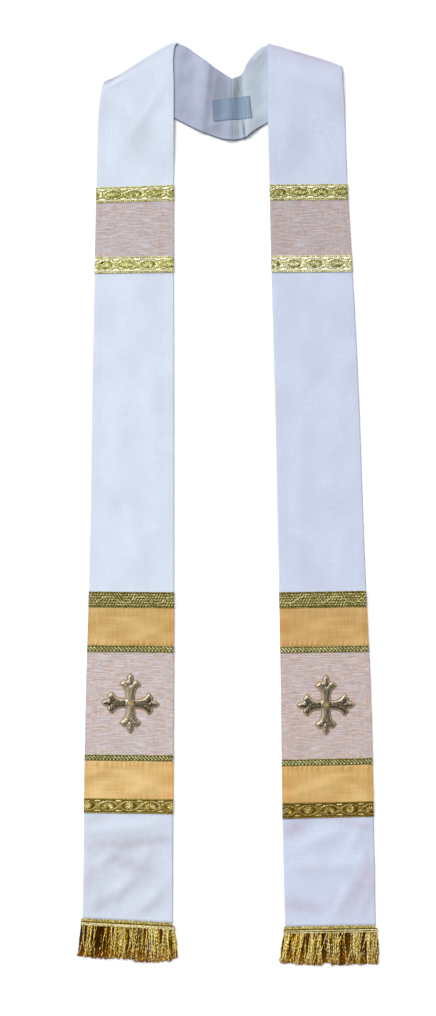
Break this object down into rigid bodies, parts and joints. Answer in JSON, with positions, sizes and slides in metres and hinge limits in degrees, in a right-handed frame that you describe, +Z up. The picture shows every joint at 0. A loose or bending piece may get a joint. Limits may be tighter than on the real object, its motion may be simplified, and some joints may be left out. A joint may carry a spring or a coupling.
{
  "type": "clergy stole",
  "caption": "White liturgical stole laid flat, both panels down from a folded-under neck band, with gold braids, amber and striped bands, embroidered crosses and fringe.",
  "frame": {"origin": "middle of the laid-out stole's bounding box, on the surface it lies on", "axes": "+Y along the panels towards the neck band, +X to the viewer's right seen from above, +Z up off the surface"},
  "size_m": [0.4243, 1.3107, 0.0075],
  "materials": {
    "white_cloth": "white linen-look plain weave, matt",
    "neck_lining": "off-white lining cloth, soft sheen",
    "label_satin": "pale blue-grey satin, blank",
    "gold_braid": "yellow gold jacquard braid with metallic thread",
    "striped_weave": "pale lilac slub weave with copper and gold weft threads",
    "olive_braid": "olive gold jacquard braid with metallic thread",
    "amber_cloth": "amber plain weave, slight sheen",
    "cross_embroidery": "padded metallic brown-gold embroidery with corded edge",
    "gold_fringe": "bright gold metallic fringe"
  },
  "bodies": {
    "root": {"stole_left": "white_cloth", "stole_right": "white_cloth", "neck_lining_left": "neck_lining", "neck_lining_right": "neck_lining", "neck_label": "label_satin", "upper_braid_1_left": "gold_braid", "upper_braid_1_right": "gold_braid", "upper_panel_left": "striped_weave", "upper_panel_right": "striped_weave", "upper_braid_2_left": "gold_braid", "upper_braid_2_right": "gold_braid", "wide_braid_1_left": "olive_braid", "wide_braid_1_right": "olive_braid", "gold_band_1_left": "amber_cloth", "gold_band_1_right": "amber_cloth", "narrow_braid_1_left": "olive_braid", "narrow_braid_1_right": "olive_braid", "cross_panel_left": "striped_weave", "cross_panel_right": "striped_weave", "cross_left": "cross_embroidery", "cross_right": "cross_embroidery", "narrow_braid_2_left": "olive_braid", "narrow_braid_2_right": "olive_braid", "gold_band_2_left": "amber_cloth", "gold_band_2_right": "amber_cloth", "wide_braid_2_left": "olive_braid", "wide_braid_2_right": "olive_braid", "fringe_left": "gold_fringe", "fringe_right": "gold_fringe"}
  },
  "joints": []
}
